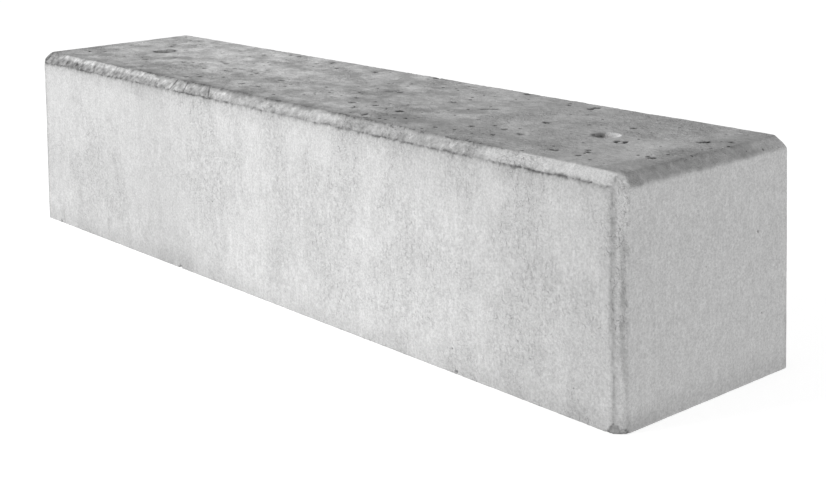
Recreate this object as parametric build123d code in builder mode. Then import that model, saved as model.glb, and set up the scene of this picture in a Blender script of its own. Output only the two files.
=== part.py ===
from build123d import *
from math import atan, degrees, sqrt, tan, radians
import os

# A precast concrete barrier block, in millimetres.
# The origin is the middle of the underside. X runs along the block, Y across it, Z up.
# "front" is the -Y face and "rear" the +Y face.

os.makedirs("parts", exist_ok=True)

# ---------------------------------------------------------------- driving dimensions

LENGTH = 2500.0  # along the foot of the block
WIDTH = 600.0
HEIGHT = 550.0
DRAFT = 1 / 40  # how much each side leans in per millimetre of height, to leave the mould
EDGE_CHAMFER = 25.0  # round the top
CORNER_CHAMFER = 20.0  # up the four corners

LIFT_X = 940.0  # from the middle to each lifting point
RECESS_RADIUS = 30.0  # the ball-shaped hollow round an anchor's head
HEAD_DEPTH = 10.0  # from the top face down to the head
ANCHOR_LENGTH = 240.0
ANCHOR_SHANK = 10.0  # diameters of the 1.3 t anchor
ANCHOR_HEAD = 19.0
ANCHOR_DOME = 10.0  # radius of the top of the head
ANCHOR_FOOT = 25.0

LINK_BAR = 8.0  # diameter of the links' bar
LINK_BEND = 20.0  # radius of a link's bends, at the middle of its bar
LINK_HALF_WIDTH = 241.0  # to the middle of a link's upright legs
LINK_LOW = 44.0  # height of a link's bottom leg
LINK_HIGH = 501.0  # height of a link's top leg
LINK_COUNT = 10
LINK_PITCH = 250.0
HOOK_TAIL = 50.0
HOOK_SHIFT = 9.0  # the two hooks of a link pass side by side

MAIN_BAR = 12.0  # diameter of the bars along the block
END_COVER = 60.0  # from the foot of the block's ends to the ends of those bars
STEEL_GAP = 1.0  # between bars that cross

WIRE = 1.6
TIE_RADIUS = 12.1  # of a tie's loop, at the middle of its wire
TIE_TAIL = 14.0

SPACER_LINKS = (0, 3, 6, 9)  # the links that carry spacer blocks
SPACER_HEIGHTS = (150.0, 395.0)
SPACER_OFFSET = 120.0  # from the middle to the blocks under the top legs
SPACER_FOOT = 36.0
SPACER_NOSE = 28.0
SPACER_SKIN = 4.0  # of concrete over a block's foot
SPACER_PLAY = 0.2  # between a block's groove and its bar

# ---------------------------------------------------------------- what follows from them

link_x = [(i - (LINK_COUNT - 1) / 2) * LINK_PITCH for i in range(LINK_COUNT)]
link_middle = (LINK_LOW + LINK_HIGH) / 2
bar_reach = LENGTH - 2 * END_COVER
bend_slack = LINK_BEND - LINK_BAR / 2 - MAIN_BAR / 2 - STEEL_GAP
corner_inset = LINK_BEND - bend_slack / sqrt(2)
side_inset = LINK_BAR / 2 + MAIN_BAR / 2 + STEEL_GAP
diagonal = 1 / sqrt(2)


def face_half_width(height):
    """Half of the block's width at a height."""
    return WIDTH / 2 - DRAFT * height


def save(piece, name):
    """Writes one finished piece to its own file."""
    piece.label = name
    export_step(piece, f"parts/{name}.step")


# ---------------------------------------------------------------- lifting anchors


def lifting_anchor(x):
    """A forged pin with a ball-shaped head at the top and a wide foot deep in the concrete."""
    foot_z = HEIGHT - HEAD_DEPTH - ANCHOR_LENGTH
    upright = Plane(origin=(x, 0, foot_z), x_dir=(1, 0, 0), z_dir=(0, -1, 0))
    shank, head, foot = ANCHOR_SHANK / 2, ANCHOR_HEAD / 2, ANCHOR_FOOT / 2
    rim_z = ANCHOR_LENGTH - ANCHOR_DOME + sqrt(ANCHOR_DOME**2 - head**2)
    collar_z = rim_z - (head - shank)
    with BuildPart() as anchor:
        with BuildSketch(upright):
            with BuildLine():
                Polyline((0, 0), (foot, 0), (foot, 3), (shank, 11), (shank, collar_z), (head, rim_z))
                RadiusArc((head, rim_z), (0, ANCHOR_LENGTH), -ANCHOR_DOME)
                Line((0, ANCHOR_LENGTH), (0, 0))
            make_face()
        revolve(axis=Axis((x, 0, foot_z), (0, 0, 1)))
    return anchor.part


# ---------------------------------------------------------------- reinforcement


def main_bar(y, z):
    """One straight bar along the block."""
    with BuildPart() as bar:
        with BuildSketch(Plane.YZ.offset(-bar_reach / 2)):
            with Locations((y, z)):
                Circle(MAIN_BAR / 2)
        extrude(amount=bar_reach)
    return bar.part


def link(x):
    """One bent link: a closed rectangle whose ends hook round the top front bar."""
    left, right = x - HOOK_SHIFT / 2, x + HOOK_SHIFT / 2
    side = LINK_HALF_WIDTH
    run_out = LINK_BEND * tan(radians(67.5))  # where a hook's two straight runs would meet
    up_corner = LINK_HIGH - LINK_BEND + run_out
    out_corner = -side + LINK_BEND - run_out
    tail = (run_out + HOOK_TAIL) * diagonal
    route_points = [
        (left, -side + tail, up_corner - tail),
        (left, -side, up_corner),
        (left, -side, LINK_LOW),
        (right, side, LINK_LOW),
        (right, side, LINK_HIGH),
        (right, out_corner, LINK_HIGH),
        (right, out_corner + tail, LINK_HIGH - tail),
    ]
    with BuildPart() as bent:
        with BuildLine() as route:
            FilletPolyline(*route_points, radius=LINK_BEND)
        with BuildSketch(Plane(origin=route.line @ 0, z_dir=route.line % 0)):
            Circle(LINK_BAR / 2)
        sweep(path=route.line)
    return bent.part


def tie_place(x, y, z, out_y, out_z):
    """The plane of a tie's loop: round a main bar and the link that lies outside it."""
    outward = Vector(0, out_y, out_z).normalized()
    along_link = Vector(1, 0, 0).cross(outward)
    middle = Vector(x, y, z) + outward * (LINK_BAR + STEEL_GAP) / 2
    return Plane(origin=middle, x_dir=outward, z_dir=Vector(1, 0, 0) - along_link).location


with BuildPart() as tie:
    Torus(TIE_RADIUS, WIRE / 2)
    with Locations(Location((-TIE_RADIUS, 0, 0), (0, -90, 0))):
        Cylinder(WIRE * 0.9, TIE_TAIL, align=(Align.CENTER, Align.CENTER, Align.MIN))


def bar_ties(y, z, out_y, out_z):
    """The wire ties along one main bar, one where each link crosses it."""
    shift = HOOK_SHIFT / 2 * (1 if y > 0 else -1)
    places = [tie_place(x + shift, y, z, out_y, out_z) for x in link_x]
    with BuildPart() as ties:
        with Locations(*places):
            add(tie.part)
    return ties.part


# ---------------------------------------------------------------- spacer blocks


def spacer(seat, reach):
    """A mortar block that holds a link off the mould. The seat's Z points at the mould face."""
    slope = degrees(atan((SPACER_FOOT - SPACER_NOSE) / 2 / reach))
    with BuildPart() as block:
        with BuildSketch(seat.offset(reach)):
            Rectangle(SPACER_FOOT, SPACER_FOOT)
        extrude(amount=-reach, taper=slope)
        with BuildSketch(Plane(origin=seat.origin, x_dir=seat.z_dir, z_dir=seat.x_dir)):
            Circle(LINK_BAR / 2 + SPACER_PLAY)
        extrude(amount=SPACER_FOOT, both=True, mode=Mode.SUBTRACT)
    return block.part


# ---------------------------------------------------------------- make the cast-in pieces

pieces = {}
pieces["lifting_anchor_left"] = lifting_anchor(-LIFT_X)
pieces["lifting_anchor_right"] = lifting_anchor(LIFT_X)

corner_y = LINK_HALF_WIDTH - corner_inset
corner_low = LINK_LOW + corner_inset
corner_high = LINK_HIGH - corner_inset
middle_y = LINK_HALF_WIDTH - side_inset
bar_places = {
    "bottom_front": (-corner_y, corner_low, -1, -1),
    "bottom_rear": (corner_y, corner_low, 1, -1),
    "middle_front": (-middle_y, link_middle, -1, 0),
    "middle_rear": (middle_y, link_middle, 1, 0),
    "top_front": (-corner_y, corner_high, -1, 1),
    "top_rear": (corner_y, corner_high, 1, 1),
}
for place, (y, z, out_y, out_z) in bar_places.items():
    pieces[f"bar_{place}"] = main_bar(y, z)
    if place != "top_front":  # the links' hooks hold that one
        pieces[f"ties_{place}"] = bar_ties(y, z, out_y, out_z)

for number, x in enumerate(link_x, 1):
    pieces[f"link_{number:02d}"] = link(x)

for number in SPACER_LINKS:
    x = link_x[number]
    for side, facing in (("front", -1), ("rear", 1)):
        bar_x = x + facing * HOOK_SHIFT / 2
        for level, z in zip(("low", "high"), SPACER_HEIGHTS):
            seat = Plane(origin=(bar_x, facing * LINK_HALF_WIDTH, z), x_dir=(0, 0, 1), z_dir=(0, facing, 0))
            mould_y = face_half_width(z + SPACER_FOOT / 2)
            reach = mould_y - LINK_HALF_WIDTH - SPACER_SKIN
            pieces[f"spacer_{side}_{level}_{number + 1:02d}"] = spacer(seat, reach)
        seat = Plane(
            origin=(x + HOOK_SHIFT / 2, facing * SPACER_OFFSET, LINK_HIGH),
            x_dir=(0, 1, 0),
            z_dir=(0, 0, 1),
        )
        reach = HEIGHT - LINK_HIGH - SPACER_SKIN
        pieces[f"spacer_top_{side}_{number + 1:02d}"] = spacer(seat, reach)

# ---------------------------------------------------------------- the concrete round them

with BuildPart() as concrete_body:
    with BuildSketch():
        Rectangle(LENGTH, WIDTH)
    extrude(amount=HEIGHT - EDGE_CHAMFER, taper=degrees(atan(DRAFT)))
    upright_edges = concrete_body.edges().filter_by(lambda edge: edge.bounding_box().size.Z > EDGE_CHAMFER)
    chamfer(upright_edges, CORNER_CHAMFER)
    shoulder = concrete_body.faces().sort_by(Axis.Z)[-1]
    extrude(shoulder, amount=EDGE_CHAMFER, taper=45)
    with Locations((-LIFT_X, 0, HEIGHT), (LIFT_X, 0, HEIGHT)):
        Sphere(RECESS_RADIUS, mode=Mode.SUBTRACT)
    for cast_in in pieces.values():
        add(cast_in, mode=Mode.SUBTRACT)

save(concrete_body.part, "concrete_body")
for name, piece in pieces.items():
    save(piece, name)
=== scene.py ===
"""The looks of a precast concrete barrier block. Metres: X along the block, Y across it, Z up."""

import itertools
import math

import bpy
import numpy as np
from mathutils import Matrix, Vector


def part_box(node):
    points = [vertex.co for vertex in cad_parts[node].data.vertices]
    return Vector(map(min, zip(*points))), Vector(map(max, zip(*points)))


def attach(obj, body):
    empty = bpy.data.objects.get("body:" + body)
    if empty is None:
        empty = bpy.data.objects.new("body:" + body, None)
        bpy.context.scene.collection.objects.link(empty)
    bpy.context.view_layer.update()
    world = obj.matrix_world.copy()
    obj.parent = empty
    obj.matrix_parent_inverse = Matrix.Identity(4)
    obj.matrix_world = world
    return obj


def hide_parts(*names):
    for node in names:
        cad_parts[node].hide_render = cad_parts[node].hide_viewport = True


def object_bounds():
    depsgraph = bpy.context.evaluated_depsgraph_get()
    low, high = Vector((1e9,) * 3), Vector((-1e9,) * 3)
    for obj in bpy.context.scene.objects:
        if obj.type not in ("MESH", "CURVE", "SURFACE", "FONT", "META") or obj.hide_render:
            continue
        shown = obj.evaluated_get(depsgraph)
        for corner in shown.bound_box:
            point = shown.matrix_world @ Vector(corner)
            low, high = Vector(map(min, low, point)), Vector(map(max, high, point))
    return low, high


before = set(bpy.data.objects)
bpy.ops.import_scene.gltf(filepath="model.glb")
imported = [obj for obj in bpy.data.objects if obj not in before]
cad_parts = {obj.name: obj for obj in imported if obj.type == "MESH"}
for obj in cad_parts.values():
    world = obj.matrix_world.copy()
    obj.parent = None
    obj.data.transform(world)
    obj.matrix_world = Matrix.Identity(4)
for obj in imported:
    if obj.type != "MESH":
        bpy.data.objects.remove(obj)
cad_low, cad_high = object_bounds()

# ---------------------------------------------------------------- the block's own sizes

HALF_LENGTH = (cad_high.x - cad_low.x) / 2  # at the foot
HALF_WIDTH = (cad_high.y - cad_low.y) / 2
HEIGHT = cad_high.z
DRAFT = 1 / 40  # how much each side leans in per metre of height
EDGE = 0.025  # the chamfer round the top
CORNER = 0.020  # the chamfers up the corners
SHOULDER = HEIGHT - EDGE
SHOULDER_HALF_LENGTH = HALF_LENGTH - DRAFT * SHOULDER
SHOULDER_HALF_WIDTH = HALF_WIDTH - DRAFT * SHOULDER
TOP_ZONE = HEIGHT - 0.02  # every point above this is on the top or its chamfers
RECESS_RADIUS = 0.030
anchor_low, anchor_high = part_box("lifting_anchor_right")
RECESS_X = (anchor_low.x + anchor_high.x) / 2
SPACER_X = (-1.12, -0.37, 0.38, 1.13)  # where the blocks under the top lie, so no hole bares them
SPACER_Y = 0.12
SPACER_KEEP_OFF = 0.034  # along X or Y, from such a block's middle to a random hole's
RECESS_KEEP_OFF = 0.060  # from a recess's middle to a random hole's
NUB_X, NUB_Y, NUB_RADIUS = 1.006, -0.031, 0.0095  # the small round mark by the right recess
BRUISE_HEIGHT = 0.026  # at the foot of the corner between the front and right faces
BRUISE_REACH = 0.024  # along each face from that corner

SIDE_TONE = 0.629  # how pale the clean concrete is
TOP_TONES = [0.58, 0.58, 0.55, 0.50]  # the top's, dirty and with painted shade, from its left end to its right
PALEST = 0.92  # no spot is paler
SKIN_INSET = 0.0004  # keeps the skin inside the CAD's faces

# ---------------------------------------------------------------- noise


def noise(points, scale, seed, stretch=(1, 1, 1)):
    """Smooth noise, about -1 to 1, in lumps 1/scale metres across.

    A stretch under 1 makes the lumps longer that way.
    """
    place = points * (scale * np.array(stretch)) + seed * 7.31
    cell = np.floor(place).astype(np.int64)
    local = place - cell
    blend = local**3 * (local * (local * 6 - 15) + 10)
    total = np.zeros(len(points))
    # Each corner of a cell has a slope from a hash of its place, the same on every run.
    for corner in itertools.product((0, 1), repeat=3):
        step = np.array(corner)
        key = (cell + step) @ np.array([73856093, 19349663, 83492791]) + seed * 2654435761
        key = (key ^ (key >> 13)) * 1274126177 & 0xFFFFFFFF
        key = (key ^ (key >> 16)) * 2246822519 & 0xFFFFFFFF
        slope = np.stack([key & 1023, key >> 10 & 1023, key >> 20 & 1023], 1) / 511.5 - 1
        weight = np.prod(np.where(step, blend, 1 - blend), axis=1)
        total += weight * np.einsum("ij,ij->i", slope, local - step)
    return total * 1.4


def smooth(x, low, high):
    """0 below low, 1 above high, and a smooth rise between."""
    t = np.clip((x - low) / (high - low), 0, 1)
    return t * t * (3 - 2 * t)


# ---------------------------------------------------------------- bugholes, nicks and cracks

TOP = (0, 0, 1)
FRONT = (0, -1, 0)
RIGHT = (1, 0, 0)

LARGE_HOLES, SMALL_HOLES = 50, 60  # at random over the top
LONG_FACE_HOLES, END_HOLES = 7, 3  # at random in each long face and each end

# The clearest holes in the top: x, y, long radius, short radius, depth and turn.
TOP_HOLES = [
    (-0.740, -0.235, 0.0182, 0.0105, 0.006, 0.6),
    (-0.735, -0.205, 0.0078, 0.0084, 0.004, 0.6),
    (-0.620, -0.185, 0.0078, 0.0084, 0.004, 0.2),
    (-0.550, -0.100, 0.0065, 0.0084, 0.003, 0.0),
    (-0.485, -0.040, 0.0065, 0.0084, 0.004, 0.3),
    (-0.560, 0.050, 0.0052, 0.0084, 0.003, 0.0),
    (-0.440, -0.190, 0.0117, 0.0105, 0.004, 0.8),
    (-0.415, -0.020, 0.0078, 0.0084, 0.004, 0.4),
    (-0.250, -0.175, 0.0091, 0.0105, 0.004, 0.5),
    (-0.210, -0.070, 0.0117, 0.0126, 0.006, 0.3),
    (-0.255, 0.160, 0.0065, 0.0084, 0.003, 0.0),
    (0.085, 0.250, 0.0104, 0.0105, 0.004, 0.5),
    (0.150, 0.030, 0.0234, 0.0084, 0.004, 0.85),
    (0.200, -0.145, 0.0104, 0.0105, 0.005, 0.2),
    (0.255, -0.185, 0.0104, 0.0105, 0.005, 0.4),
    (0.275, -0.130, 0.0091, 0.0105, 0.004, 0.0),
    (0.380, -0.140, 0.0130, 0.0126, 0.001, 0.6),
    (0.445, 0.245, 0.0117, 0.0105, 0.004, 0.4),
    (0.520, 0.030, 0.0247, 0.0084, 0.004, 0.75),
    (0.700, 0.225, 0.0117, 0.0147, 0.005, 0.0),
    (0.740, 0.010, 0.0117, 0.0126, 0.005, 0.5),
    (0.930, 0.100, 0.0091, 0.0084, 0.004, 0.4),
    (0.997, -0.032, 0.0078, 0.0105, 0.005, 0.2),
    (1.013, -0.024, 0.0065, 0.0084, 0.004, 0.2),
    (1.015, -0.145, 0.0065, 0.0084, 0.004, 0.0),
    (1.035, -0.200, 0.0065, 0.0084, 0.003, 0.0),
    (1.140, 0.090, 0.0156, 0.0105, 0.003, 0.9),
    (1.160, -0.110, 0.0117, 0.0084, 0.003, 0.8),
]
# Nicks along the foot and holes in the two faces that show: place, direction, radius and depth.
FACE_HOLES = [
    ((-1.145, -HALF_WIDTH, 0.005), FRONT, 0.006, 0.004),
    ((-0.430, -HALF_WIDTH, 0.003), FRONT, 0.009, 0.005),
    ((0.750, -HALF_WIDTH, 0.008), FRONT, 0.006, 0.004),
    ((0.735, -0.293, 0.060), FRONT, 0.004, 0.003),
    ((1.241, 0.162, 0.350), RIGHT, 0.004, 0.003),
    ((1.246, 0.180, 0.158), RIGHT, 0.003, 0.002),
]
# Cracks over the front's top chamfer: where they cross its upper and lower edge, and width.
CRACKS = [
    (-0.452, -0.458, 0.0030),
    (-0.398, -0.389, 0.0028),
    (-0.289, -0.264, 0.0032),
]


def pit_list():
    """Bowls in the surface: middle, outward direction, long and short radius, turn and depth."""
    rng = np.random.default_rng(41)
    pits = []
    flat_x, flat_y = SHOULDER_HALF_LENGTH - 0.045, SHOULDER_HALF_WIDTH - 0.040
    for number in range(LARGE_HOLES + SMALL_HOLES):
        x, y = flat_x * (1 - 2 * rng.random()), flat_y * (1 - 2 * rng.random())
        large = number < LARGE_HOLES
        long = rng.uniform(0.0080, 0.0135) if large else rng.uniform(0.0050, 0.0072)
        short = long * rng.uniform(0.45, 0.75)
        turn, depth = rng.normal(-0.7, 0.35), short * rng.uniform(0.6, 1.0)
        from_spacer = max(min(abs(x - at) for at in SPACER_X), abs(abs(y) - SPACER_Y))
        from_recess = math.hypot(abs(x) - RECESS_X, y)
        if from_recess > RECESS_KEEP_OFF and from_spacer >= SPACER_KEEP_OFF:
            pits.append(((x, y, HEIGHT), TOP, long, short, turn, depth))
    for x, y, long, short, depth, turn in TOP_HOLES:
        pits.append(((x, y, HEIGHT), TOP, long, short, turn, depth))
    for side in (-1, 1):
        for _ in range(LONG_FACE_HOLES):
            x, z = rng.uniform(-1.2, 1.2), rng.uniform(0.02, 0.5)
            radius = rng.uniform(0.0018, 0.003)
            at = (x, side * (HALF_WIDTH - DRAFT * z), z)
            pits.append((at, (0, side, 0), radius, radius * 0.8, 0.0, radius * 0.7))
        for _ in range(END_HOLES):
            y, z = rng.uniform(-0.26, 0.26), rng.uniform(0.02, 0.5)
            radius = rng.uniform(0.0018, 0.0025)
            at = (side * (HALF_LENGTH - DRAFT * z), y, z)
            pits.append((at, (side, 0, 0), radius, radius * 0.8, 0.0, radius * 0.7))
    for at, outward, radius, depth in FACE_HOLES:
        pits.append((at, outward, radius, radius * 0.7, 0.3, depth))
    return pits


# ---------------------------------------------------------------- the cage


def ring(z, inset, cut, along, across):
    """The outline at one height, as its four straight sides: front, right, rear and left."""
    half_x, half_y = HALF_LENGTH - inset, HALF_WIDTH - inset
    xs = np.linspace(-(half_x - cut), half_x - cut, along + 1)
    ys = np.linspace(-(half_y - cut), half_y - cut, across + 1)
    front = [(x, -half_y, z) for x in xs]
    right = [(half_x, y, z) for y in ys]
    rear = [(x, half_y, z) for x in xs[::-1]]
    left = [(-half_x, y, z) for y in ys[::-1]]
    return front, right, rear, left


def block_cage():
    """The block's outside in large faces: (corner points, faces)."""
    along, across, up = 64, 15, 14  # faces each way
    points, faces = [], []

    def add_ring(z, inset, cut):
        sides = []
        for side in ring(z, inset, cut, along, across):
            sides.append(list(range(len(points), len(points) + len(side))))
            points.extend(side)
        return sides

    rings = []
    for z in np.linspace(0, SHOULDER, up + 1):
        rings.append(add_ring(z, DRAFT * z, CORNER))
    rim_cut = CORNER - EDGE * (2 - math.sqrt(2))
    rings.append(add_ring(HEIGHT, DRAFT * SHOULDER + EDGE, rim_cut))
    for low, high in itertools.pairwise(rings):
        below, above = sum(low, []), sum(high, [])
        for i in range(len(below)):
            j = (i + 1) % len(below)
            faces.append((below[i], below[j], above[j], above[i]))

    def add_cap(sides, flip):
        """Closes a ring with a grid whose four corner faces also take in the corner chamfers."""
        front, right, rear, left = sides
        rear, left = rear[::-1], left[::-1]
        xs = [points[i][0] for i in front]
        ys = [points[i][1] for i in right]
        z = points[front[0]][2]
        inner = {}
        for i in range(along + 1):
            for j in range(across + 1):
                if j in (0, across) and 0 < i < along:
                    inner[i, j] = [(front if j == 0 else rear)[i]]
                elif i in (0, along) and 0 < j < across:
                    inner[i, j] = [(left if i == 0 else right)[j]]
                elif 0 < i < along:
                    inner[i, j] = [len(points)]
                    points.append((xs[i], ys[j], z))
        inner[0, 0] = [left[0], front[0]]
        inner[along, 0] = [front[along], right[0]]
        inner[along, across] = [right[across], rear[along]]
        inner[0, across] = [rear[0], left[across]]
        for i in range(along):
            for j in range(across):
                face = inner[i, j] + inner[i + 1, j] + inner[i + 1, j + 1] + inner[i, j + 1]
                faces.append(tuple(face[::-1] if flip else face))

    add_cap(rings[0], True)
    add_cap(rings[-1], False)
    return points, faces


def refine(points, faces, allowed):
    """Cuts a face into quads, one at each corner, while it has an edge longer than allowed().

    Where the faces next door are finer, a face ends as triangles round its middle.
    """
    points = [tuple(map(float, p)) for p in points]
    halves = {}
    done = []

    def half(a, b):
        key = (a, b) if a < b else (b, a)
        if key not in halves:
            halves[key] = len(points)
            points.append(tuple((u + v) / 2 for u, v in zip(points[a], points[b])))
        return halves[key]

    while faces:
        middles, spans = [], []
        for face in faces:
            corners = [points[i] for i in face]
            middles.append([sum(c) / len(face) for c in zip(*corners)])
            spans.append(max(math.dist(a, b) for a, b in zip(corners, corners[1:] + corners[:1])))
        middles = np.array(middles)
        cut = (np.array(spans) > allowed(middles)) | np.array([len(f) > 4 for f in faces])
        coming = []
        for face, middle, go_on in zip(faces, middles, cut):
            if not go_on:
                done.append(face)
                continue
            centre = len(points)
            points.append(tuple(middle))
            mids = [half(a, b) for a, b in zip(face, face[1:] + face[:1])]
            for i, corner in enumerate(face):
                coming.append((corner, mids[i], centre, mids[i - 1]))
        faces = coming

    def between(a, b):
        """The points that finer faces next door have put on an edge."""
        middle = halves.get((a, b) if a < b else (b, a))
        return [] if middle is None else between(a, middle) + [middle] + between(middle, b)

    finished = []
    for face in done:
        outline = []
        for a, b in zip(face, face[1:] + face[:1]):
            outline += [a] + between(a, b)
        if len(outline) == 4:
            finished.append(tuple(outline))
            continue
        centre = len(points)
        points.append(tuple(np.mean([points[i] for i in face], axis=0)))
        for a, b in zip(outline, outline[1:] + outline[:1]):
            finished.append((a, b, centre))
    return np.array(points), finished


def mesh_density(pits):
    """Returns the function that says how long an edge may be at each place."""
    middles = np.array([pit[0] for pit in pits] + [(NUB_X, NUB_Y, HEIGHT)])
    radii = np.array([pit[2] for pit in pits] + [NUB_RADIUS / 2])
    on_the_top, on_the_sides, underneath = 0.012, 0.024, 0.040
    on_seen_band, on_unseen_band = 0.003, 0.006
    on_corner, at_foot, at_recess = 0.0048, 0.0070, 0.0024
    growth = 0.8  # of the edges, per metre away from a fine place

    def allowed(p):
        x, y, z = np.abs(p[:, 0]), np.abs(p[:, 1]), p[:, 2]
        on_top = z > HEIGHT - 0.001
        size = np.where(on_top, on_the_top, on_the_sides)

        below_shoulder = np.maximum(SHOULDER - z, 0)
        in_from_rim = np.minimum(SHOULDER_HALF_LENGTH - EDGE - x, SHOULDER_HALF_WIDTH - EDGE - y)
        to_band = np.hypot(below_shoulder, np.maximum(in_from_rim, 0))
        seen = (p[:, 1] < -0.24) | (p[:, 0] > 1.18)  # along the front and the right end
        on_band = np.where(seen, on_seen_band, on_unseen_band)
        size = np.minimum(size, on_band + growth * np.maximum(to_band - 0.005, 0))

        gap_x = np.maximum(HALF_LENGTH - DRAFT * z - CORNER - x, 0)
        gap_y = np.maximum(HALF_WIDTH - DRAFT * z - CORNER - y, 0)
        to_corner = np.hypot(gap_x, gap_y)
        size = np.minimum(size, on_corner + growth * np.maximum(to_corner - 0.004, 0))

        to_foot = np.hypot(z, np.minimum(HALF_LENGTH - x, HALF_WIDTH - y))
        size = np.minimum(size, at_foot + np.maximum(to_foot - 0.006, 0))
        size = np.where(z < 0.001, underneath, size)

        from_middle = np.hypot(x - RECESS_X, y)
        from_ring = np.abs(from_middle - RECESS_RADIUS * 0.55) - RECESS_RADIUS * 0.5
        near_recess = np.minimum(size, at_recess + 0.6 * np.maximum(from_ring, 0))
        size = np.where(on_top, near_recess, size)

        chunk = 20000  # places at a time, to save memory
        for start in range(0, len(p), chunk):
            away = np.linalg.norm(p[start : start + chunk, None, :] - middles[None], axis=2)
            near = radii * 0.5 + 0.9 * np.maximum(away - radii * 1.1, 0)
            size[start : start + chunk] = np.minimum(size[start : start + chunk], near.min(1))
        return size

    return allowed


# ---------------------------------------------------------------- the cast surface


def block_planes():
    """Every flat of the block as (outward normal, distance), with the names of their groups."""
    normals, distances, groups = [], [], []

    def add(normal, through, group):
        normal = np.array(normal, float) / np.linalg.norm(normal)
        normals.append(normal)
        distances.append(normal @ np.array(through, float))
        groups.append(group)

    add((0, 0, 1), (0, 0, HEIGHT), "top")
    add((0, 0, -1), (0, 0, 0), "under")
    for s in (-1, 1):
        add((0, s, DRAFT), (0, s * HALF_WIDTH, 0), "long")
        add((s, 0, DRAFT), (s * HALF_LENGTH, 0, 0), "end")
        add((0, s, 1), (0, s * SHOULDER_HALF_WIDTH, SHOULDER), "long_band")
        add((s, 0, 1), (s * SHOULDER_HALF_LENGTH, 0, SHOULDER), "end_band")
        for t in (-1, 1):
            add((s, t, 2 * DRAFT), (s * (HALF_LENGTH - CORNER), t * HALF_WIDTH, 0), "corner")
            at = (s * (SHOULDER_HALF_LENGTH - CORNER), t * SHOULDER_HALF_WIDTH, SHOULDER)
            add((s, t, math.sqrt(2)), at, "corner_band")
    return np.array(normals), np.array(distances), np.array(groups)


def cast_surface(points):
    """Moves the cage's points in to the rough, softly rounded shape that left the mould.

    Returns the points, their outward directions, the share of each group of flats at each
    point, and how far each point lies outside each group (0 on it, negative inside it).
    """
    normals, distances, groups = block_planes()
    x, y, z = points.T
    wander = noise(points, 7, 1) * 0.6 + noise(points, 24, 2) * 0.5 + noise(points, 70, 3) * 0.35
    worn = np.interp(x, [-1.25, -0.75, -0.3, 0.7, 0.9], [0.0045, 0.0035, 0.0020, 0.0014, 0.0003])
    in_from_end, in_from_side = HALF_LENGTH - np.abs(x), HALF_WIDTH - np.abs(y)
    toward_long = np.clip(0.5 + (in_from_end - in_from_side) / (2 * CORNER), 0, 1)
    inset = {
        "top": 0.0012 + 0.0007 * noise(points, 5, 4) + 0.0006 * noise(points, 22, 5),
        "under": np.zeros(len(points)),
        "long": 0.0005 + 0.0004 * noise(points, 2.5, 6),
        "end": 0.0005 + 0.0004 * noise(points, 4, 7),
        "long_band": 0.0004 + worn + 0.0009 * (1 + wander) + worn * 0.6 * wander,
        "end_band": 0.0009 + 0.0009 * (1 + wander),
        "corner": 0.0005 + 0.0006 * (1 + wander) + 0.0062 * toward_long * smooth(z, 0.05, 0.42),
        "corner_band": 0.0012 + 0.0010 * (1 + wander),
    }
    insets = np.stack([np.maximum(inset[group], 0) for group in groups], 1)
    at_ends = smooth(np.abs(x), 1.15, 1.21) * smooth(z, 0.40, 0.50)
    softness = ((0.0008 + 0.0006 * at_ends) * (1 + 0.5 * noise(points, 30, 8)))[:, None]

    # Each point slides on a line from a core in the block, to the flats' soft maximum.
    reach = 0.075  # from the outside to the core
    core = np.empty_like(points)
    core[:, 0] = np.clip(x, reach - HALF_LENGTH, HALF_LENGTH - reach)
    core[:, 1] = np.clip(y, reach - HALF_WIDTH, HALF_WIDTH - reach)
    core[:, 2] = np.clip(z, reach, HEIGHT - reach)
    way = points - core
    start = core @ normals.T - distances + insets
    rate = way @ normals.T
    low, high = np.zeros(len(points)), np.full(len(points), 1.02)  # shares of the way
    for _ in range(20):  # halvings, which end far under a micrometre
        middle = (low + high) / 2
        levels = (start + middle[:, None] * rate) / softness
        peak = levels.max(1)
        outside = peak + np.log(np.exp(levels - peak[:, None]).sum(1)) > 0
        high = np.where(outside, middle, high)
        low = np.where(outside, low, middle)
    levels = start + low[:, None] * rate
    share = np.exp((levels - levels.max(1)[:, None]) / softness)
    share /= share.sum(1)[:, None]
    direction = share @ normals
    direction /= np.linalg.norm(direction, axis=1)[:, None]
    parts = {name: share[:, groups == name].sum(1) for name in set(groups)}
    gaps = {name: levels[:, groups == name].max(1) for name in set(groups)}
    return core + low[:, None] * way, direction, parts, gaps


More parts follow.
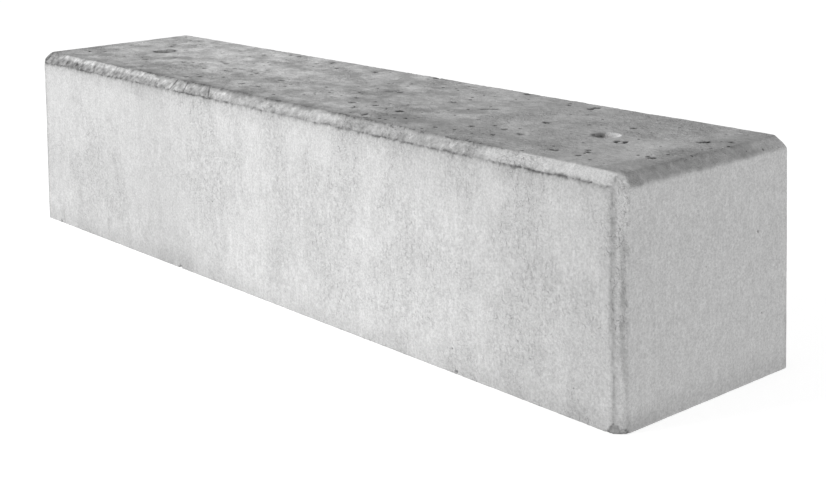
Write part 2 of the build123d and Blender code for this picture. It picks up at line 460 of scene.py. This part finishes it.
def sink_recesses(points, dark):
    """Sinks the two ball-shaped recesses, with the rim's points moved onto its circle, and paints
    shade in and round them, with painted light on the right one's far wall.
    """
    for side in (-1, 1):
        dx, dy = points[:, 0] - side * RECESS_X, points[:, 1]
        away = np.hypot(dx, dy)
        near = (points[:, 2] > TOP_ZONE) & (away < RECESS_RADIUS + 0.0008)
        angle = np.minimum(away[near] / RECESS_RADIUS, 1) * math.pi / 2
        scale = RECESS_RADIUS * np.sin(angle) / np.maximum(away[near], 1e-6)
        points[near, 0] = side * RECESS_X + dx[near] * scale
        points[near, 1] = dy[near] * scale
        sunk = RECESS_RADIUS * np.cos(angle)
        points[near, 2] -= sunk
        lip = np.exp(-(((away - RECESS_RADIUS - 0.003) / 0.0055) ** 2)) * (points[:, 2] > TOP_ZONE)
        deep = smooth(sunk, 0.001, 0.010)
        if side < 0:  # painted shade inside and round its rim, except at its left
            painted_shade = smooth(dx, -0.032, -0.016)
            dark[near] = np.maximum(dark[near], painted_shade[near] * deep)
            dark[:] = np.maximum(dark, lip * painted_shade)
        else:  # painted shade on its near side, painted light on its far wall
            towards = 0.8 * dy[near] + 0.6 * dx[near]
            shaded = 0.9 * smooth(towards, 0.004, -0.008)
            dark[near] = np.maximum(dark[near], shaded * deep)
            turned = smooth(-(0.45 * dx + 0.89 * dy) / np.maximum(away, 1e-6), 0.45, 0.9)
            dark[:] = np.maximum(dark, 0.85 * lip * turned)
            # Painted light on the far wall, strongest towards its right.
            pale = 0.9 + 0.7 * smooth(dx[near], 0.004, 0.016)
            dark[near] -= pale * smooth(towards, -0.004, 0.008)


def sink_pits(points, pits, depth, dark):
    """Adds each bowl's depth where it lies, with a ragged rim, and paints shade into it."""
    rough = 1 + 0.22 * noise(points, 160, 11) + 0.15 * noise(points, 60, 12)
    for middle, outward, long, short, turn, sink in pits:
        offset = points - np.array(middle)
        near = np.nonzero((np.abs(offset) < long * 1.6 + 0.003).all(1))[0]
        if len(near) == 0:
            continue
        shade = 1.0 if outward == TOP else 0.4
        outward = np.array(outward, float)
        first = np.cross(outward, (0.0, 1.0, 0.0) if abs(outward[1]) < 0.5 else (0.0, 0.0, 1.0))
        second = np.cross(outward, first)
        u, v = offset[near] @ first, offset[near] @ second
        u, v = u * math.cos(turn) + v * math.sin(turn), v * math.cos(turn) - u * math.sin(turn)
        bowl = np.sqrt(np.clip(1 - (np.hypot(u / long, v / short) * rough[near]) ** 2, 0, 1))
        depth[near] = np.maximum(depth[near], sink * bowl)
        # Painted shade in the bowl, fainter in the faces than in the top.
        dark[near] = np.maximum(dark[near], shade * smooth(bowl, 0.05, 0.6))


def sink_nub(points, depth, dark):
    """The small round mark beside the right recess: a sunk ring round the near side of a low disc,
    with painted shade in it.
    """
    dx, dy = points[:, 0] - NUB_X, points[:, 1] - NUB_Y
    out = np.hypot(dx, dy) - NUB_RADIUS
    shaded_groove = smooth(out, -0.002, 0.001) * smooth(out, 0.010, 0.006)
    shaded_groove *= smooth(0.6 * dx - 0.8 * dy, 0.001, 0.007) * (points[:, 2] > TOP_ZONE)
    depth += 0.0050 * shaded_groove
    dark[:] = np.maximum(dark, 0.9 * shaded_groove)


def sink_bruise(points, depth, dark):
    """The ragged bruise where the corner between the front and right faces meets the foot."""
    x, y, z = points.T
    in_from_end, in_from_front = HALF_LENGTH - x, y + HALF_WIDTH
    across = np.clip(0.5 + (in_from_front - in_from_end) / (2 * CORNER), 0, 1)
    along = np.maximum(in_from_end - CORNER, 0) + np.maximum(in_from_front - CORNER, 0)
    along += 0.013 * across
    ragged = 0.25 * noise(points, 110, 61) + 0.15 * noise(points, 260, 62)
    inside = 1 - z / BRUISE_HEIGHT - along / BRUISE_REACH + ragged
    bruise = smooth(inside, -0.05, 0.12)
    depth += (0.0018 + 0.0012 * noise(points, 150, 63)) * bruise
    rim = smooth(inside, 0.35, 0.05) + smooth(z, 0.006, 0.001)
    # The bruise is darkened, most near its edge and along the floor.
    bruise_darkness = np.clip(0.44 + 0.42 * rim + 0.15 * noise(points, 180, 64), 0, 0.95)
    dark[:] = np.maximum(dark, bruise * bruise_darkness)


GAP_SLOPE = 0.707  # how fast one flat falls away below another at an edge of 45 degrees
SHADE_HAZE_WIDTH = 0.009


def edge_lines(points, gaps, parts, depth, dark):
    """The lines where paste leaked past the mould's edge strips, with painted shade along them, the
    dark strips up the corners and cracks.
    """
    x, z = points[:, 0], points[:, 2]
    waver = 0.0026 * noise(points, 22, 21) + 0.0026 * noise(points, 75, 22)
    waver += 0.0016 * noise(points, 170, 29)
    gappy = 0.6 * noise(points, 14, 23) + 0.8 * noise(points, 60, 24) + 0.5 * noise(points, 150, 26)
    thick = np.maximum(1 + 0.9 * noise(points, 40, 27) + 0.8 * noise(points, 110, 28), 0.3)
    shaken = 0.0016 * noise(points, 26, 25)

    def line(one, other, width, strength, faint, sinks, shade_haze):
        """Draws the edge between two groups of flats, sunk and dark, with a soft painted shade
        along it.
        """
        offset = (gaps[one] - gaps[other]) / GAP_SLOPE + waver
        on_edge = (gaps[one] > -0.02) & (gaps[other] > -0.02)
        present = faint + (1 - faint) * smooth(gappy, -0.35, 0.45)
        mark = np.exp(-((offset / (width * thick)) ** 2)) * strength * present
        mark = np.where(on_edge, mark, 0)
        soft = np.where(on_edge, shade_haze * np.exp(-((offset / SHADE_HAZE_WIDTH) ** 2)), 0)
        depth[:] += sinks * mark
        dark[:] = np.maximum(dark, np.maximum(mark, soft))

    leak = np.interp(np.abs(x), [1.203, 1.212], [1.0, 0.0])
    leak *= np.interp(x, [-1.2, -0.6, -0.4, 0.8, 1.0, 1.15], [0.85, 0.90, 1.0, 0.9, 1.0, 1.0])
    line("long", "long_band", 0.0046, leak, 0.45, 0.0022, 0.20)
    crest = np.interp(x, [-1.2, -1.0, -0.6, 0.5, 0.85, 0.95], [0.7, 0.4, 0.9, 0.75, 0.8, 0.0])
    line("top", "long_band", 0.0050, crest, 0.30, 0.0016, 0.22 * crest)
    line("long", "corner", 0.0044, 0.60, 0.60, 0.0008, 0.30)
    line("top", "end_band", 0.0040, 0.30, 0.50, 0.0006, 0.12)

    # A wider dark strip runs up each corner, on its chamfer and a little in from its edge to the
    # end.
    inward = 0.002 + 0.011 * smooth(z, 0.07, 0.26)
    offset = (gaps["end"] - gaps["corner"]) / GAP_SLOPE + inward + 1.5 * waver
    strip = np.exp(-((offset / 0.0085) ** 2)) * (parts["corner"] + parts["end"])
    strip *= smooth(z, 0.50, 0.36) * (0.35 + 0.65 * smooth(z, 0.05, 0.20))
    dark[:] = np.maximum(dark, (0.44 + 0.12 * noise(points, 25, 65)) * strip)

    height = (z - SHOULDER) / EDGE
    for upper, lower, width in CRACKS:
        offset = x - (lower + (upper - lower) * height) + shaken
        on_band = parts["long_band"] * smooth(points[:, 1], 0, -0.1)
        crack = np.exp(-((offset / width) ** 2)) * on_band
        depth[:] += 0.0022 * crack
        dark[:] = np.maximum(dark, 0.9 * crack)


# ---------------------------------------------------------------- the concrete's tones


# Patches on the front: how much paler or darker, the middle's x and z, and the half sizes.
FRONT_PATCHES = [
    (-0.12, -0.42, 0.0, 0.20, 0.15),
    (-0.09, -0.54, 0.0, 0.15, math.inf),
    (-0.10, 0.66, 0.47, 0.18, 0.09),
    (0.06, 0.48, 0.12, 0.22, 0.13),
]


def spread(u, v, middle_u, middle_v, half_u, half_v):
    """1 at a place and fading to 0 around it."""
    return np.exp(-(((u - middle_u) / half_u) ** 2) - ((v - middle_v) / half_v) ** 2)


def surface_tones(points, parts, dark):
    """How pale the concrete is at each point, and how far it takes on the top's dirty look and
    painted shade.
    """
    x, y, z = points.T
    height = (z - SHOULDER) / EDGE
    ragged = 0.6 * noise(points, 40, 41) + 0.45 * noise(points, 85, 42)
    # The top's dirty look and painted shade on a long chamfer begin at this share of its height.
    begins = np.interp(
        x, [-1.2, -1.1, -0.62, -0.52, 0.65, 0.95], [1.0, 0.94, 0.90, 0.54, 0.58, 0.98]
    )
    up_long = smooth(height + 0.30 * ragged, begins - 0.12, begins + 0.25)
    up_end = smooth(height + 0.25 * ragged, -0.35, 0.20) * smooth(np.abs(y), 0.270, 0.250)
    up_end *= 1 - 0.65 * smooth(y + 0.05 * height + 0.03 * ragged, 0.15, 0.25)
    chamfers = parts["long_band"] + parts["corner_band"]
    dirt_and_shade = parts["top"] + chamfers * up_long + (parts["end_band"] + parts["end"]) * up_end

    # The sides: clean and even, with a few broad darker and paler places on the front.
    uneven = 0.012 * noise(points, 2.2, 43) + 0.014 * noise(points, 9, 44, (1, 1, 0.5))
    side = SIDE_TONE * (1 + uneven)
    on_front = parts["long"] * (y < 0)
    # Painted shade: the front darkens towards its right end, where the lamp's light falls off.
    side *= 1 - 0.11 * on_front * smooth(x + 0.12 * noise(points, 4, 45), 0.66, 1.0)
    side *= 1 - 0.07 * on_front * smooth(x, 1.0, 1.15)
    side *= 1 - 0.08 * on_front * smooth(x, -0.25, -0.8)
    side *= 1 - 0.12 * smooth(z, 0.46, 0.515) * parts["long"]
    side *= 1 - 0.12 * smooth(z, 0.07, 0.0)
    # Painted highlight along the front's right edge, low down.
    side *= 1 + 0.10 * on_front * smooth(x, 1.20, 1.225) * smooth(z, 0.24, 0.12)
    for change, at_x, at_z, half_x, half_z in FRONT_PATCHES:
        side *= 1 + change * on_front * spread(x, z, at_x, at_z, half_x, half_z)
    side *= 1 - 0.06 * (parts["end"] + 0.6 * parts["corner"])
    foot_corner = parts["end"] * spread(y, z, -0.25, 0.0, 0.09, 0.03)
    side *= 1 - foot_corner * (0.20 + 0.25 * noise(points, 90, 52))

    # The pale chamfers round the top: mottled, more so on the left, and clean at the right end.
    mottled = 0.20 * noise(points, 18, 46) + 0.26 * noise(points, 55, 47)
    mottled += 0.16 * noise(points, 120, 51)
    mottled *= 1 + 0.8 * smooth(x, 0.1, -0.3)
    at_left = smooth(x, -0.50, -0.60) * smooth(x, -1.16, -1.04)
    mottled += 0.30 * at_left * (smooth(height, 0.25, 0.55) - 0.5)
    clean = smooth(x, 0.75, 0.92)
    lower_left = smooth(height, 0.55, 0.35) * smooth(x, -0.45, -0.6) + 0.5 * smooth(x, -0.2, -0.4)
    side *= 1 - 0.13 * chamfers * lower_left
    side *= 1 + chamfers * (clean * 0.20 - 0.17 + mottled * (1 - 0.7 * clean))

    # The top: dirty and clouded, with painted shade, and darker places along the front and at the
    # right end.
    top = np.interp(x, [-1.2, -0.4, 0.1, 1.0], TOP_TONES)
    clouds = 0.07 * noise(points, 3.2, 48) + 0.11 * noise(points, 10, 49)
    clouds += 0.14 * noise(points, 26, 50)
    top = top * (1 + clouds * (1 - 0.5 * smooth(x, 0.4, 0.8)))
    puddle = 0.26 * spread(x, y, 0.60, -0.18, 0.28, 0.06)
    puddle += 0.10 * spread(x, y, 0.30, 0.0, 0.3, 0.06)
    top *= 1 - puddle
    top *= 1 - 0.24 * spread(x, y, -0.05, -0.265, 0.80, 0.026)
    top *= 1 + 0.13 * smooth(x, 0.3, -0.3) * smooth(y, -0.12, 0.05)
    top *= 1 - 0.16 * smooth(x, 0.0, -0.45) * smooth(y, -0.10, -0.17)
    top *= 1 + 0.10 * spread(x, y, 1.08, -0.04, 0.05, 0.15)
    top *= 1 - 0.14 * smooth(x + 0.02 * ragged, 1.13, 1.165)
    dirt_and_shade = np.clip(dirt_and_shade, 0, 1)
    tone = side + (top - side) * dirt_and_shade
    # A negative darkness, the painted light on the right recess's far wall, makes a spot paler.
    return np.minimum(tone * (1 - 0.80 * np.clip(dark, -1.4, 1)), PALEST), dirt_and_shade


# ---------------------------------------------------------------- the concrete piece


def build_concrete():
    """The whole concrete outside as one closed mesh, with its tones in the attribute "cast"."""
    pits = pit_list()
    points, faces = refine(*block_cage(), mesh_density(pits))
    points, direction, parts, gaps = cast_surface(points)
    depth, dark = np.zeros(len(points)), np.zeros(len(points))
    sink_pits(points, pits, depth, dark)
    sink_nub(points, depth, dark)
    sink_bruise(points, depth, dark)
    edge_lines(points, gaps, parts, depth, dark)
    grit = noise(points, 95, 31) * (0.00015 + 0.00025 * parts["top"]) * (1 - parts["under"])
    points = points - direction * (depth + SKIN_INSET + grit)[:, None]
    sink_recesses(points, dark)
    points[:, 2] = np.maximum(points[:, 2], 0)
    tone, dirt_and_shade = surface_tones(points, parts, dark)

    mesh = bpy.data.meshes.new("concrete_skin")
    mesh.from_pydata(points.tolist(), [], faces)
    mesh.polygons.foreach_set("use_smooth", [True] * len(mesh.polygons))
    layer = mesh.color_attributes.new("cast", "FLOAT_COLOR", "POINT")
    values = np.stack([tone, dirt_and_shade, parts["end"], np.ones(len(points))], 1)
    layer.data.foreach_set("color", values.astype(np.float32).ravel())
    mesh.update()
    piece = bpy.data.objects.new("concrete_skin", mesh)
    bpy.context.scene.collection.objects.link(piece)
    return piece


# ---------------------------------------------------------------- materials


class Nodes:
    """Short calls for building one material."""

    def __init__(self, name):
        self.material = bpy.data.materials.new(name)
        self.material.use_nodes = True
        self.tree = self.material.node_tree
        self.shader = self.tree.nodes["Principled BSDF"]
        self.place = self.tree.nodes.new("ShaderNodeTexCoord").outputs["Object"]

    def link(self, source, target):
        self.tree.links.new(source, target)

    def give(self, socket, value):
        """Links another node's output, or sets a plain value."""
        if isinstance(value, bpy.types.NodeSocket):
            self.link(value, socket)
        else:
            socket.default_value = value

    def noise(self, scale, stretch=(1, 1, 1), detail=2.0, roughness=0.5):
        """Noise fixed to the piece, longer where the stretch is under 1."""
        mapping = self.tree.nodes.new("ShaderNodeMapping")
        mapping.inputs["Scale"].default_value = stretch
        self.link(self.place, mapping.inputs["Vector"])
        texture = self.tree.nodes.new("ShaderNodeTexNoise")
        texture.inputs["Scale"].default_value = scale
        texture.inputs["Detail"].default_value = detail
        texture.inputs["Roughness"].default_value = roughness
        self.link(mapping.outputs["Vector"], texture.inputs["Vector"])
        return texture.outputs["Fac"]

    def math(self, kind, a, b):
        node = self.tree.nodes.new("ShaderNodeMath")
        node.operation = kind
        self.give(node.inputs[0], a)
        self.give(node.inputs[1], b)
        return node.outputs[0]

    def range(self, value, low, high, to_low=0.0, to_high=1.0, smooth=True):
        """Turns low to high into to_low to to_high, and stays there past both ends."""
        node = self.tree.nodes.new("ShaderNodeMapRange")
        node.interpolation_type = "SMOOTHSTEP" if smooth else "LINEAR"
        self.give(node.inputs["Value"], value)
        node.inputs["From Min"].default_value = low
        node.inputs["From Max"].default_value = high
        node.inputs["To Min"].default_value = to_low
        node.inputs["To Max"].default_value = to_high
        return node.outputs["Result"]

    def mix(self, share, a, b):
        node = self.tree.nodes.new("ShaderNodeMix")
        node.data_type = "RGBA"
        self.give(node.inputs["Factor"], share)
        self.give(node.inputs["A"], a)
        self.give(node.inputs["B"], b)
        return node.outputs["Result"]

    def mix_value(self, share, a, b):
        node = self.tree.nodes.new("ShaderNodeMix")
        self.give(node.inputs["Factor"], share)
        self.give(node.inputs["A"], a)
        self.give(node.inputs["B"], b)
        return node.outputs["Result"]

    def pinholes(self, scale, radius):
        """1 in small round spots, in about two of five cells 1/scale metres across."""
        texture = self.tree.nodes.new("ShaderNodeTexVoronoi")
        texture.inputs["Scale"].default_value = scale
        self.link(self.place, texture.inputs["Vector"])
        split = self.tree.nodes.new("ShaderNodeSeparateColor")
        self.link(texture.outputs["Color"], split.inputs["Color"])
        size = self.range(split.outputs["Red"], 0.60, 1.0, 0.0, radius, smooth=False)
        depth = self.math("SUBTRACT", size, texture.outputs["Distance"])
        return self.range(depth, 0.0, radius * 0.4)

    def grey(self, value):
        node = self.tree.nodes.new("ShaderNodeCombineColor")
        for name in ("Red", "Green", "Blue"):
            self.link(value, node.inputs[name])
        return node.outputs["Color"]

    def bump(self, height, distance, strength, under=None):
        """Relief on top of the relief under it, where there is one."""
        node = self.tree.nodes.new("ShaderNodeBump")
        node.inputs["Distance"].default_value = distance
        self.give(node.inputs["Strength"], strength)
        self.link(height, node.inputs["Height"])
        if under is not None:
            self.link(under, node.inputs["Normal"])
        return node.outputs["Normal"]


def concrete_material():
    """Cast concrete: the mesh's own tones, with fine streaks, grain and pinholes over them."""
    n = Nodes("cast_concrete")
    cast = n.tree.nodes.new("ShaderNodeAttribute")
    cast.attribute_name = "cast"
    split = n.tree.nodes.new("ShaderNodeSeparateColor")
    n.link(cast.outputs["Color"], split.inputs["Color"])
    tone, dirt_and_shade = split.outputs["Red"], split.outputs["Green"]

    streaks = n.noise(1.0, (150, 150, 9), 4.0, 0.65)
    blotches = n.noise(45, (1, 1, 0.6), 4.0, 0.6)
    peel = n.noise(170, detail=3.0, roughness=0.7)
    sand = n.noise(480, detail=2.0, roughness=0.6)
    side = n.range(streaks, 0.3, 0.7, 0.967, 1.033)
    side = n.math("MULTIPLY", side, n.range(blotches, 0.3, 0.7, 0.95, 1.05))
    side = n.math("MULTIPLY", side, n.range(peel, 0.3, 0.7, 0.87, 1.13))

    mottle = n.noise(13, (0.8, 1, 1), 6.0, 0.68)
    flecks = n.noise(75, (0.7, 1, 1), 4.0, 0.75)
    place = n.tree.nodes.new("ShaderNodeSeparateXYZ")
    n.link(n.place, place.inputs["Vector"])
    even = n.range(place.outputs["X"], 0.2, 0.75, 0.0, 0.55)
    patches = n.mix_value(even, n.range(mottle, 0.33, 0.67, 0.70, 1.28), 1.0)  # even at the right
    top = n.math("MULTIPLY", patches, n.range(flecks, 0.3, 0.7, 0.84, 1.14))
    pinholes = n.pinholes(48, 0.30)
    # Painted shade in the pinholes on the top.
    top = n.math("MULTIPLY", top, n.range(pinholes, 0.0, 1.0, 1.0, 0.22))

    change = n.mix_value(dirt_and_shade, side, top)
    change = n.math("MULTIPLY", change, n.range(sand, 0.3, 0.7, 0.93, 1.07))
    n.link(n.grey(n.math("MULTIPLY", tone, change)), n.shader.inputs["Base Color"])
    n.shader.inputs["Roughness"].default_value = 0.9
    n.shader.inputs["Specular IOR Level"].default_value = 0.2

    relief = n.bump(sand, 0.0012, 0.8)
    rough = n.range(n.noise(5, (1, 1, 0.6), 3.0, 0.6), 0.40, 0.62, 0.35, 1.0)
    rough = n.math("MULTIPLY", rough, n.range(split.outputs["Blue"], 0.0, 1.0, 1.0, 0.3))
    relief = n.bump(peel, 0.0046, rough, relief)
    lumps = n.range(n.noise(85, (1, 1, 0.8), 2.0, 0.55), 0.46, 0.74)
    relief = n.bump(lumps, 0.0030, n.math("MULTIPLY", rough, 0.9), relief)
    relief = n.bump(n.math("MULTIPLY", pinholes, dirt_and_shade), -0.0010, 0.6, relief)
    n.link(n.bump(blotches, 0.0020, 0.3, relief), n.shader.inputs["Normal"])
    return n.material


def steel_material(name, colour, rust, roughness):
    """Dull steel with patches of scale and rust."""
    n = Nodes(name)
    patches = n.range(n.noise(60, detail=4.0, roughness=0.65), 0.42, 0.62)
    n.link(n.mix(patches, colour, rust), n.shader.inputs["Base Color"])
    n.link(n.range(patches, 0, 1, roughness, 0.85), n.shader.inputs["Roughness"])
    n.shader.inputs["Metallic"].default_value = 0.85
    n.link(n.bump(n.noise(500, detail=2.0), 0.0003, 0.5), n.shader.inputs["Normal"])
    return n.material


def mortar_material():
    """The spacer blocks' fine mortar."""
    n = Nodes("spacer_mortar")
    grain = n.range(n.noise(350, detail=3.0, roughness=0.7), 0.3, 0.7)
    colour = n.mix(grain, (0.44, 0.44, 0.43, 1), (0.56, 0.56, 0.54, 1))
    n.link(colour, n.shader.inputs["Base Color"])
    n.shader.inputs["Roughness"].default_value = 0.9
    n.link(n.bump(grain, 0.0004, 0.6), n.shader.inputs["Normal"])
    return n.material


def dress_cad_nodes():
    """Gives every piece cast into the block its own finish."""
    forged, forged_rust = (0.34, 0.33, 0.32, 1), (0.20, 0.13, 0.09, 1)
    rolled, rolled_rust = (0.20, 0.18, 0.17, 1), (0.28, 0.13, 0.06, 1)
    bent, bent_rust = (0.22, 0.20, 0.18, 1), (0.30, 0.14, 0.07, 1)
    annealed, annealed_rust = (0.12, 0.12, 0.12, 1), (0.18, 0.11, 0.07, 1)
    finishes = {
        "lifting_anchor": steel_material("anchor_steel", forged, forged_rust, 0.42),
        "bar": steel_material("bar_steel", rolled, rolled_rust, 0.55),
        "link": steel_material("link_steel", bent, bent_rust, 0.55),
        "ties": steel_material("tie_wire", annealed, annealed_rust, 0.5),
        "spacer": mortar_material(),
    }
    for name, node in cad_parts.items():
        for start, material in finishes.items():
            if name.startswith(start):
                node.data.materials.clear()
                node.data.materials.append(material)


# ---------------------------------------------------------------- floor, light and camera


def make_floor():
    """A pale floor that glows a little, so that it goes white behind the block."""
    half = 40.0
    mesh = bpy.data.meshes.new("floor")
    corners = [(-half, -half, 0), (half, -half, 0), (half, half, 0), (-half, half, 0)]
    mesh.from_pydata(corners, [], [(0, 1, 2, 3)])
    floor = bpy.data.objects.new("floor", mesh)
    bpy.context.scene.collection.objects.link(floor)
    n = Nodes("pale_floor")
    n.shader.inputs["Base Color"].default_value = (0.62, 0.62, 0.62, 1)
    n.shader.inputs["Roughness"].default_value = 0.95
    n.shader.inputs["Specular IOR Level"].default_value = 0.0
    n.shader.inputs["Emission Color"].default_value = (1, 1, 1, 1)
    n.shader.inputs["Emission Strength"].default_value = 0.67
    mesh.materials.append(n.material)


def make_light():
    """One large soft lamp at the front left, and an even grey sky."""
    world = bpy.data.worlds.new("studio")
    world.use_nodes = True
    background = world.node_tree.nodes["Background"]
    background.inputs["Color"].default_value = (1, 1, 1, 1)
    background.inputs["Strength"].default_value = 0.55
    bpy.context.scene.world = world

    data = bpy.data.lights.new("key", "AREA")
    data.energy = 180
    data.size = 3.0
    key = bpy.data.objects.new("key", data)
    key.location = (-2.1, -5.2, 2.9)
    aim = Vector((-0.3, 0, 0.3)) - key.location
    key.rotation_euler = aim.to_track_quat("-Z", "Y").to_euler()
    bpy.context.scene.collection.objects.link(key)


def make_camera():
    """The photograph's viewpoint, as yaw, pitch and roll from a level look along -X."""
    focal_length, shift_down = 1476.2 / 826, 60 / 826  # in widths of the picture
    place = (3.1232, -2.4669, 1.2408)
    yaw, pitch, roll = math.radians(40.777), math.radians(13.728), math.radians(-1.114)

    data = bpy.data.cameras.new("camera")
    data.lens = focal_length * data.sensor_width
    data.shift_y = -shift_down
    camera = bpy.data.objects.new("camera", data)
    camera.location = place
    level = Vector((-math.cos(yaw), math.sin(yaw), 0))
    forward = level * math.cos(pitch) - Vector((0, 0, math.sin(pitch)))
    right = Vector((math.sin(yaw), math.cos(yaw), 0))
    up = right.cross(forward)
    turned_right = right * math.cos(roll) + up * math.sin(roll)
    turned_up = up * math.cos(roll) - right * math.sin(roll)
    camera.rotation_euler = Matrix((turned_right, turned_up, -forward)).transposed().to_euler()
    bpy.context.scene.collection.objects.link(camera)
    bpy.context.scene.camera = camera


make_camera()
make_light()
make_floor()
concrete = build_concrete()
concrete.data.materials.append(concrete_material())
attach(concrete, "root")
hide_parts("concrete_body")
dress_cad_nodes()
bpy.context.scene.view_settings.view_transform = "Standard"
